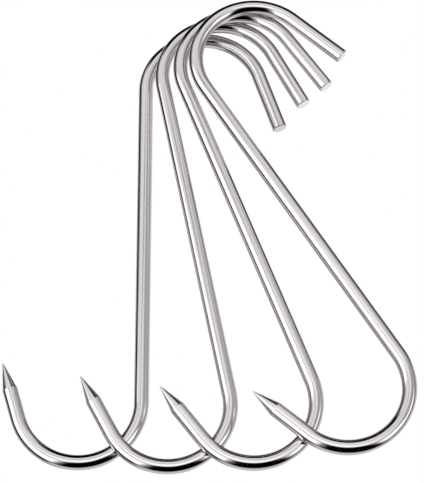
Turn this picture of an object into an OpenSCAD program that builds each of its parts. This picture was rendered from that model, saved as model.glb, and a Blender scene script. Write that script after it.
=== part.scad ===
// Four S-shaped meat hooks, fanned out on one rail line.
// Each hook is a single bent rod. Its upper crook goes over a rail and ends in a
// short tail that is cut off square. A long straight shank runs down to a lower
// crook that turns the other way and ends in a point, ground to a cone.
// +Z is up. The rail line runs along Y through the origin, inside every upper
// crook. The hooks stand one behind the other, with hook_1 farthest along +Y.

/* [Rod] */
// Diameter of the rod
rod_d = 9.5; // [6:0.5:12]
// Width of the chamfer round the square-cut end
end_chamfer = 0.5; // [0.2:0.1:0.8]

/* [Hook] */
// Straight length between the two crooks
shank_len = 218; // [120:1:280]
// Radius of both crooks, to the middle of the rod
crook_r = 39; // [30:0.5:50]
// Angle that each crook turns the rod through
crook_bend = 163; // [140:1:175]
// How much thinner the rod is in a crook, where bending has stretched it
draw_down = 0.04; // [0.02:0.01:0.1]
// Straight length of the square-cut tail, chamfer included
tail_len = 43.5; // [20:0.5:60]
// Straight length between the lower crook and the point
point_leg_len = 24; // [10:0.5:40]

/* [Point] */
// Length of the ground cone
point_len = 18; // [10:0.5:24]
// Diameter of the blunted tip
tip_d = 0.6; // [0.4:0.1:1.2]

/* [Fan] */
// Swing of each shank from plumb, in degrees, with the lower end towards +X
swing = [-0.5, 10.8, 20.8, 32.4]; // [-10:0.1:45]
// Place of each upper crook's centre from the rail line, along X
crook_x = [-16.5, -5.5, 6.5, 16.5]; // [-18:0.5:18]
// Place of each upper crook's centre from the rail line, along Z
crook_z = [-4.5, 1.5, 3.5, 4.5]; // [-6:0.5:6]
// Free space between neighbouring hooks
hook_gap = 0.3; // [0.2:0.1:5]

/* [Hand-made differences] */
// Further bend of each upper crook, in degrees
upper_bend_extra = [-2, 0, 3, 0]; // [-4:0.5:4]
// Further bend of each lower crook, in degrees
lower_bend_extra = [0, 0, 0, -1]; // [-4:0.5:4]
// Further length of each tail
tail_extra = [-1.5, 0, 1, -1]; // [-3:0.5:3]
// Further length of each straight between the lower crook and the point
leg_extra = [-4, 0, 1, 0]; // [-6:0.5:6]

/* [Hidden] */
NODES = ["hook_1", "hook_2", "hook_3", "hook_4"];
$fn = 96;
hook_pitch = rod_d + hook_gap;
middle_hook = (len(NODES) + 1) / 2;
// The thinner crook runs this far inside the straight length at each of its ends.
seat_len = 0.3;
seat_angle = atan(seat_len / crook_r);

// The tail runs up from the origin and ends in a flat face with a chamfered rim.
module tail(cut_len) {
    straight_len = cut_len - end_chamfer;
    cylinder(d = rod_d, h = straight_len);
    translate([0, 0, straight_len])
        cylinder(d1 = rod_d, d2 = rod_d - 2 * end_chamfer, h = end_chamfer);
}

// The point's leg runs up from the origin and ends in the ground cone.
module point_leg(leg_len) {
    cylinder(d = rod_d, h = leg_len);
    translate([0, 0, leg_len])
        cylinder(d1 = rod_d, d2 = tip_d, h = point_len);
}

// A crook centred on the origin in the XY plane. It leaves +X and turns clockwise
// through the angle given, and its child stands on the end of it.
module crook(bend) {
    rotate(-bend - seat_angle)
        rotate_extrude(angle = bend + 2 * seat_angle)
            translate([crook_r, 0])
                circle(d = rod_d - draw_down);
    rotate(-bend)
        translate([crook_r, 0])
            rotate([90, 0, 0])
                children();
}

// Hook number n lying in the XY plane, shank along Y, upper crook's centre at the origin.
module bent_rod(n) {
    rotate(180)
        crook(crook_bend + upper_bend_extra[n - 1])
            tail(tail_len + tail_extra[n - 1]);
    translate([-crook_r, 0])
        rotate([90, 0, 0])
            cylinder(d = rod_d, h = shank_len);
    translate([-2 * crook_r, -shank_len])
        crook(crook_bend + lower_bend_extra[n - 1])
            point_leg(point_leg_len + leg_extra[n - 1]);
}

// Hook number n of the fan, hanging in its own plane across the rail line.
module hook(n) {
    color("gainsboro")
        translate([crook_x[n - 1], (middle_hook - n) * hook_pitch, crook_z[n - 1]])
            rotate([90, -swing[n - 1], 0])
                bent_rod(n);
}

module hook_1() {
    hook(1);
}

module hook_2() {
    hook(2);
}

module hook_3() {
    hook(3);
}

module hook_4() {
    hook(4);
}

hook_1();
hook_2();
hook_3();
hook_4();
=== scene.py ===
"""Four S-shaped meat hooks of polished stainless rod, hung in a fan on one rail line.

Each hook is one swept mesh with three finishes: the polished rod, the ground point and
the sawn end. Lengths are metres and angles are degrees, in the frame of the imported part.
"""
import math

import bpy
import numpy as np
from mathutils import Matrix, Quaternion, Vector


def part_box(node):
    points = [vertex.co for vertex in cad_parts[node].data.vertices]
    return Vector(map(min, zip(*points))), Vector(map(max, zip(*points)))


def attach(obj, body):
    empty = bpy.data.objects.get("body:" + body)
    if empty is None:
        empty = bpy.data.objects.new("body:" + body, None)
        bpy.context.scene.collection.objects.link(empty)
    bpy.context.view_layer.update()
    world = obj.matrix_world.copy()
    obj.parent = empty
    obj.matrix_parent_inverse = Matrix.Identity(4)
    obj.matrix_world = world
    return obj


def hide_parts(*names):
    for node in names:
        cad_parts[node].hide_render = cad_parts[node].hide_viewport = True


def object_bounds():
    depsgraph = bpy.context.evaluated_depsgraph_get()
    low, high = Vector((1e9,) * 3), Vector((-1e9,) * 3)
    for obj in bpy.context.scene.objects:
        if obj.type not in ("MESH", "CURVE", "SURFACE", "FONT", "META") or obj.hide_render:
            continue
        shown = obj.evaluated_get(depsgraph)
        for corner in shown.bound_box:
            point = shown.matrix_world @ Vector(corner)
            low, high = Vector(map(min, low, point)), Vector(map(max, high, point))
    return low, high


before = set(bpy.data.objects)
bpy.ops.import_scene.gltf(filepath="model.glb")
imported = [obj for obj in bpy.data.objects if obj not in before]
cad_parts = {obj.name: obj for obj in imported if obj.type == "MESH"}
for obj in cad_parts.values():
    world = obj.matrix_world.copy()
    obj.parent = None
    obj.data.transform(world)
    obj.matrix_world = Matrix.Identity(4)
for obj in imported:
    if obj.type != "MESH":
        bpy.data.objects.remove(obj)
cad_low, cad_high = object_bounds()

# ---------------------------------------------------------------- the rod
# The driving dimensions of part.scad, under the names they have there.
ROD_D = 0.0095
END_CHAMFER = 0.0005
SHANK_LEN = 0.218
CROOK_R = 0.039
CROOK_BEND = 163
DRAW_DOWN = 0.00004
TAIL_LEN = 0.0435
POINT_LEG_LEN = 0.024
POINT_LEN = 0.018
TIP_D = 0.0006
# Each hook's swing from plumb, then what the hand that made it added: bend of the upper and of the
# lower crook, length of the tail and of the leg before the point.
FAN = {
    "hook_1": (-0.5, -2, 0, -0.0015, -0.004),
    "hook_2": (10.8, 0, 0, 0, 0),
    "hook_3": (20.8, 3, 0, 0.001, 0.001),
    "hook_4": (32.4, 0, -1, -0.001, 0),
}

# ---------------------------------------------------------------- the mesh
# Faces round the rod, and about how far apart its rings stand: metres on a straight, degrees in a bend.
SIDES = 64
STEP = 0.0025
BEND_STEP = 1.5
# Rings across the sawn face, its middle point included.
END_RINGS = 3
# Rings over which a bend goes from the rod's radius to its own, at each of its ends.
DRAW_RINGS = 3
# The last stretch of the point, where it closes.
TIP_ROUNDING = 0.0002
# Edges that turn by more than this show as creases.
SHARP_ANGLE = 10
# The finishes, by their slot on each mesh.
ROD, POINT, END = range(3)


class Pen:
    """Walks along the middle of the rod in the XZ plane, leaving a station wherever a ring goes."""

    def __init__(self, heading):
        self.at = Vector((0, 0))
        self.heading = math.radians(heading)
        self.along = 0.0
        self.stations = []

    def mark(self, radius, finish):
        self.stations.append((self.at.x, self.at.y, self.heading, self.along, radius, finish))

    def step(self, length):
        self.at += length * Vector((math.cos(self.heading), math.sin(self.heading)))
        self.along += length

    def straight(self, length, first, last, finish):
        """A straight length whose radius goes evenly from first to last."""
        count = max(1, round(length / STEP))
        for i in range(1, count + 1):
            self.step(length / count)
            self.mark(first + (last - first) * i / count, finish)

    def bend(self, angle, radius):
        """An arc of CROOK_R, a little thinner than the rod, to the left where the angle is positive."""
        count = math.ceil(abs(angle) / BEND_STEP)
        turn = math.radians(angle) / count
        chord = 2 * CROOK_R * math.sin(abs(turn) / 2)
        for i in range(1, count + 1):
            self.heading += turn / 2
            self.step(chord)
            self.heading += turn / 2
            thinner = DRAW_DOWN / 2 * min(1, i / DRAW_RINGS, (count - i) / DRAW_RINGS)
            self.mark(radius - thinner, ROD)


def walk_hook(swing, upper_extra, lower_extra, tail_extra, leg_extra):
    """The stations of one hook, from the middle of its sawn end to its tip."""
    radius = ROD_D / 2
    upper_bend = CROOK_BEND + upper_extra
    pen = Pen(270 - upper_bend + swing)
    for i in range(END_RINGS):
        pen.mark((radius - END_CHAMFER) * i / (END_RINGS - 1), END)
    pen.straight(END_CHAMFER, radius - END_CHAMFER, radius, END)
    pen.straight(TAIL_LEN + tail_extra - END_CHAMFER, radius, radius, ROD)
    pen.bend(upper_bend, radius)
    pen.straight(SHANK_LEN, radius, radius, ROD)
    pen.bend(-CROOK_BEND - lower_extra, radius)
    pen.straight(POINT_LEG_LEN + leg_extra, radius, radius, ROD)
    pen.straight(POINT_LEN - TIP_ROUNDING, radius, TIP_D / 2, POINT)
    pen.straight(TIP_ROUNDING, TIP_D / 2, 0, POINT)
    return pen.stations


def sweep(name, stations):
    """A closed tube through the stations. Its point attribute rod_space is the rod unrolled straight:
    place across the rod, and distance along it."""
    angles = np.linspace(0, 2 * math.pi, SIDES, endpoint=False)
    across, upright = np.cos(angles), np.sin(angles)
    points, unrolled, rings = [], [], []
    for x, z, heading, along, radius, _ in stations:
        count = SIDES if radius else 1
        normal = (-math.sin(heading), math.cos(heading))
        u, v = radius * across[:count], radius * upright[:count]
        rings.append(range(len(points), len(points) + count))
        points += zip(x + u * normal[0], v, z + u * normal[1])
        unrolled += zip(u, v, [along] * count)
    faces, finishes = [], []
    for k in range(len(rings) - 1):
        a, b = rings[k], rings[k + 1]
        for i in range(SIDES):
            j = (i + 1) % SIDES
            if len(a) == 1:
                faces.append((a[0], b[j], b[i]))
            elif len(b) == 1:
                faces.append((a[i], a[j], b[0]))
            else:
                faces.append((a[i], a[j], b[j], b[i]))
        *_, finish = stations[k + 1]
        finishes += [finish] * SIDES
    mesh = bpy.data.meshes.new(name)
    mesh.from_pydata([tuple(map(float, p)) for p in points], [], faces)
    mesh.polygons.foreach_set("material_index", finishes)
    mesh.polygons.foreach_set("use_smooth", [True] * len(faces))
    space = mesh.attributes.new("rod_space", "FLOAT_VECTOR", "POINT")
    space.data.foreach_set("vector", np.array(unrolled, np.float32).ravel())
    mesh.set_sharp_from_angle(angle=math.radians(SHARP_ANGLE))
    mesh.update()
    mesh.validate()
    return mesh


def move_into_box(mesh, node):
    """Moves the mesh so that the middle of its box is the middle of the CAD node's box."""
    points = np.array([v.co for v in mesh.vertices])
    low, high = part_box(node)
    middle = Vector((points.min(0) + points.max(0)) / 2)
    mesh.transform(Matrix.Translation((low + high) / 2 - middle))


# ---------------------------------------------------------------- the finishes
class Nodes:
    """A node tree with short ways to add and link nodes."""

    def __init__(self, tree):
        self.tree = tree
        tree.nodes.clear()

    def add(self, kind, inputs=(), **settings):
        """Adds a node. Inputs maps a socket's name or number to a value or to another node's output."""
        node = self.tree.nodes.new("ShaderNode" + kind)
        for key, value in settings.items():
            setattr(node, key, value)
        for key, value in dict(inputs).items():
            if isinstance(value, bpy.types.NodeSocket):
                self.tree.links.new(value, node.inputs[key])
            else:
                node.inputs[key].default_value = value
        return node

    def math(self, operation, *values):
        return self.add("Math", enumerate(values), operation=operation).outputs[0]

    def spread(self, value, low, high, to_low, to_high, kind="LINEAR"):
        """Maps low..high to to_low..to_high and stops at those."""
        ranges = enumerate((value, low, high, to_low, to_high))
        return self.add("MapRange", ranges, interpolation_type=kind).outputs[0]

    def noise(self, place, size, detail=2.0, roughness=0.5):
        """Noise over rod_space whose features measure size across and size along the rod, in metres."""
        scale = (1 / size[0], 1 / size[0], 1 / size[1])
        scaled = self.add("VectorMath", {0: place, 1: scale}, operation="MULTIPLY").outputs[0]
        inputs = {"Vector": scaled, "Scale": 1.0, "Detail": detail, "Roughness": roughness}
        return self.add("TexNoise", inputs, noise_dimensions="3D").outputs["Fac"]

    def bump(self, height, depth, normal=None):
        """Bump of a height field from 0 to 1 that stands for depth metres."""
        inputs = {"Height": height, "Distance": depth, "Strength": 1.0}
        if normal is not None:
            inputs["Normal"] = normal
        return self.add("Bump", inputs).outputs["Normal"]

    def mix(self, share, first, second):
        node = self.add("Mix", data_type="RGBA")
        for socket, value in zip((node.inputs[0], node.inputs[6], node.inputs[7]), (share, first, second)):
            if isinstance(value, bpy.types.NodeSocket):
                self.tree.links.new(value, socket)
            else:
                socket.default_value = value
        return node.outputs[2]


STEEL = (0.815, 0.782, 0.778, 1)
STEEL_DULL = (0.74, 0.705, 0.70, 1)
STEEL_SAWN = (0.66, 0.645, 0.64, 1)
# How large each mark is, across the rod and along it.
DIE_LINE_SIZE = (0.0008, 0.160)
HAIRLINE_SIZE = (0.00016, 0.045)
WAVE_SIZE = (0.006, 0.028)
CLOUD_SIZE = (0.008, 0.020)
SCRATCH_SIZE = (0.0030, 0.00012)
GRIND_RING_SIZE = (0.010, 0.00010)
GRIND_FACET_SIZE = (0.004, 0.0016)
SAW_GRAIN_SIZE = (0.0005, 0.0005)
# Saw marks to the metre: across them, along them, and along the rod.
SAW_MARKS = (9000.0, 500.0, 2500.0)
# How far each mark stands above the steel, or below it.
WAVE_RISE = 0.000010
DIE_LINE_RISE = 0.0000015
HAIRLINE_RISE = 0.0000004
SCRATCH_RISE = -0.0000006
GRIND_FACET_RISE = 0.000004
GRIND_RING_RISE = 0.0000005
SAW_MARK_RISE = 0.000006
# Roughness of each finish, from smoothest to dullest, and what hairlines and scratches add to it.
ROD_ROUGHNESS = (0.06, 0.12)
HAIRLINE_ROUGHNESS = (-0.02, 0.04)
SCRATCH_ROUGHNESS = 0.10
GRIND_ROUGHNESS = (0.05, 0.13)
SAW_ROUGHNESS = (0.30, 0.44)


def steel_base(name):
    """A material with its node helper and rod_space."""
    material = bpy.data.materials.new(name)
    material.use_nodes = True
    nodes = Nodes(material.node_tree)
    place = nodes.add("Attribute", attribute_name="rod_space").outputs["Vector"]
    return material, nodes, place


def steel_end(nodes, colour, roughness, normal):
    """The metal shader and the output."""
    inputs = {"Base Color": colour, "Metallic": 1.0, "Roughness": roughness, "Normal": normal}
    metal = nodes.add("BsdfPrincipled", inputs)
    nodes.add("OutputMaterial", {"Surface": metal.outputs[0]})


def polished_rod():
    """Bright drawn rod: die lines along it, a faint waviness, cloudy polish and sparse scratches."""
    material, nodes, place = steel_base("polished_rod")
    die_lines = nodes.noise(place, DIE_LINE_SIZE, 2.0, 0.6)
    hairlines = nodes.noise(place, HAIRLINE_SIZE, 3.0, 0.6)
    waves = nodes.noise(place, WAVE_SIZE, 1.0)
    cloud = nodes.noise(place, CLOUD_SIZE, 3.0)
    scratches = nodes.spread(nodes.noise(place, SCRATCH_SIZE, 2.0), 0.68, 0.74, 0.0, 1.0)
    rough = nodes.spread(cloud, 0.35, 0.68, *ROD_ROUGHNESS)
    rough = nodes.math("ADD", rough, nodes.spread(hairlines, 0.3, 0.7, *HAIRLINE_ROUGHNESS))
    rough = nodes.math("ADD", rough, nodes.math("MULTIPLY", scratches, SCRATCH_ROUGHNESS))
    dull = nodes.spread(die_lines, 0.46, 0.70, 0.0, 1.0)
    dull = nodes.math("MAXIMUM", dull, nodes.spread(hairlines, 0.4, 0.8, 0.0, 0.5))
    colour = nodes.mix(dull, STEEL, STEEL_DULL)
    normal = nodes.bump(waves, WAVE_RISE)
    normal = nodes.bump(die_lines, DIE_LINE_RISE, normal)
    normal = nodes.bump(hairlines, HAIRLINE_RISE, normal)
    normal = nodes.bump(scratches, SCRATCH_RISE, normal)
    steel_end(nodes, colour, rough, normal)
    return material


def ground_point():
    """The cone, ground round its axis on a fine belt."""
    material, nodes, place = steel_base("ground_point")
    rings = nodes.noise(place, GRIND_RING_SIZE, 3.0, 0.6)
    facets = nodes.noise(place, GRIND_FACET_SIZE, 1.0)
    rough = nodes.spread(rings, 0.3, 0.7, *GRIND_ROUGHNESS)
    colour = nodes.mix(nodes.spread(rings, 0.35, 0.7, 0.0, 0.6), STEEL, STEEL_DULL)
    normal = nodes.bump(facets, GRIND_FACET_RISE)
    normal = nodes.bump(rings, GRIND_RING_RISE, normal)
    steel_end(nodes, colour, rough, normal)
    return material


def sawn_end():
    """The flat cut face and its chamfer, with the saw's parallel marks."""
    material, nodes, place = steel_base("sawn_end")
    stretch = nodes.add("VectorMath", {0: place, 1: SAW_MARKS}, operation="MULTIPLY").outputs[0]
    marks = nodes.add("TexNoise", {"Vector": stretch, "Scale": 1.0, "Detail": 3.0}).outputs["Fac"]
    grain = nodes.noise(place, SAW_GRAIN_SIZE, 3.0)
    rough = nodes.spread(marks, 0.3, 0.7, *SAW_ROUGHNESS)
    colour = nodes.mix(nodes.spread(grain, 0.35, 0.7, 0.0, 1.0), STEEL, STEEL_SAWN)
    normal = nodes.bump(marks, SAW_MARK_RISE)
    steel_end(nodes, colour, rough, normal)
    return material


FINISHES = (polished_rod(), ground_point(), sawn_end())


def make_hook(node, shape):
    """One hook as a single piece that stands for its CAD node and rides on the body of that name."""
    mesh = sweep(node + "_rod", walk_hook(*shape))
    move_into_box(mesh, node)
    for finish in FINISHES:
        mesh.materials.append(finish)
    hook = bpy.data.objects.new(node + "_rod", mesh)
    bpy.context.scene.collection.objects.link(hook)
    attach(hook, node)
    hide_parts(node)


for node, shape in FAN.items():
    make_hook(node, shape)

# ---------------------------------------------------------------- the studio
FLOOR_Z = -2.2
FLOOR_SIZE = 60.0
FLOOR_COLOUR = (0.93, 0.93, 0.92, 1)
SURROUND = 0.25
# Lights and black flags round the hooks, seen only in reflections, each laid over the ones before it:
# name, direction round the line from the hooks to the front (0 is +X, 90 is up), angle off that line,
# width round it, depth off it, softness of the edge, brightness. The angles are fixed in space.
PANELS = (
    ("front_wall", 0, 20, 360, 90, 8, 0.65),
    ("backdrop", 0, 140, 360, 80, 8, 0.65),
    ("rear_softbox", 0, 155, 90, 30, 8, 1.3),
    ("rear_shade", 190, 150, 100, 30, 10, 0.2),
    ("overhead_softbox", 115, 25, 120, 90, 5, 0.85),
    ("left_softbox", 200, 55, 80, 50, 5, 1.5),
    ("right_softbox", -20, 55, 65, 30, 8, 1.5),
    ("right_shade", 15, 40, 50, 30, 5, 0.4),
    ("arch_flag", 135, 105, 200, 30, 6, 0.0),
    ("top_flag", 95, 80, 65, 50, 5, 0.0),
    ("bottom_flag", -80, 55, 70, 90, 8, 0.0),
    ("front_softbox", 0, 0, 360, 30, 10, 1.3),
    ("softbox_gap", 120, 25, 80, 5, 2, 0.4),
)


def make_floor():
    """A plain pale floor far below the hanging hooks, left out of their reflections."""
    half = FLOOR_SIZE / 2
    corners = [(x, y, FLOOR_Z) for x, y in ((-half, -half), (half, -half), (half, half), (-half, half))]
    mesh = bpy.data.meshes.new("floor")
    mesh.from_pydata(corners, [], [(0, 1, 2, 3)])
    material = bpy.data.materials.new("floor")
    material.use_nodes = True
    nodes = Nodes(material.node_tree)
    paint = nodes.add("BsdfPrincipled", {"Base Color": FLOOR_COLOUR, "Roughness": 0.9})
    nodes.add("OutputMaterial", {"Surface": paint.outputs[0]})
    mesh.materials.append(material)
    floor = bpy.data.objects.new("floor", mesh)
    floor.visible_glossy = False
    bpy.context.scene.collection.objects.link(floor)


def make_world():
    """White to the eye and to the floor, and a ring of soft panels and flags to the polished steel."""
    world = bpy.data.worlds.new("studio")
    bpy.context.scene.world = world
    world.use_nodes = True
    world.cycles.sampling_method = "NONE"
    nodes = Nodes(world.node_tree)
    way = nodes.add("TexCoord").outputs["Generated"]
    x, y, z = nodes.add("SeparateXYZ", {0: way}).outputs
    degrees = 180 / math.pi
    front = nodes.math("MULTIPLY", y, -1.0)
    off_front = nodes.math("MULTIPLY", nodes.math("ARCCOSINE", front), degrees)
    round_front = nodes.math("MULTIPLY", nodes.math("ARCTAN2", z, x), degrees)
    light = SURROUND
    for _, direction, off, width, depth, soft, brightness in PANELS:
        round_gap = nodes.math("SUBTRACT", round_front, float(direction))
        round_gap = nodes.math("ABSOLUTE", nodes.math("WRAP", round_gap, 180.0, -180.0))
        off_gap = nodes.math("ABSOLUTE", nodes.math("SUBTRACT", off_front, float(off)))
        share = nodes.spread(off_gap, depth / 2 - soft, depth / 2 + soft, 1.0, 0.0, "SMOOTHSTEP")
        if width < 360:
            beside = nodes.spread(round_gap, width / 2 - soft, width / 2 + soft, 1.0, 0.0, "SMOOTHSTEP")
            share = nodes.math("MULTIPLY", share, beside)
        light = nodes.add("Mix", {0: share, 2: light, 3: brightness}, data_type="FLOAT").outputs[0]
    glossy = nodes.add("LightPath").outputs["Is Glossy Ray"]
    light = nodes.add("Mix", {0: glossy, 2: 1.0, 3: light}, data_type="FLOAT").outputs[0]
    background = nodes.add("Background", {"Color": (1, 1, 1, 1), "Strength": light})
    nodes.add("OutputWorld", {"Surface": background.outputs[0]})


# ---------------------------------------------------------------- the camera
VIEW_AZIMUTH = -1.73
VIEW_ELEVATION = -22.85
VIEW_ROLL = -0.67
VIEW_DISTANCE = 1.142
# Millimetres, as Blender has them.
VIEW_LENS = 133.27
SENSOR_WIDTH = 36
# From the middle of the part's box to the point that the camera looks at.
AIM_OFFSET = Vector((0.0040, 0, -0.00786))


def make_camera():
    """Looks up at the hooks from the front, aimed close to the middle of the part's box."""
    azimuth, elevation = math.radians(VIEW_AZIMUTH), math.radians(VIEW_ELEVATION)
    level = math.cos(elevation)
    back = Vector((math.sin(azimuth) * level, -math.cos(azimuth) * level, math.sin(elevation)))
    data = bpy.data.cameras.new("camera")
    data.lens = VIEW_LENS
    data.sensor_width = SENSOR_WIDTH
    camera = bpy.data.objects.new("camera", data)
    camera.rotation_mode = "QUATERNION"
    roll = Quaternion((0, 0, 1), math.radians(VIEW_ROLL))
    camera.rotation_quaternion = (-back).to_track_quat("-Z", "Y") @ roll
    camera.location = (cad_low + cad_high) / 2 + AIM_OFFSET + back * VIEW_DISTANCE
    bpy.context.scene.collection.objects.link(camera)
    bpy.context.scene.camera = camera


make_floor()
make_world()
make_camera()
# Keeps the white ground white.
bpy.context.scene.view_settings.view_transform = "Standard"
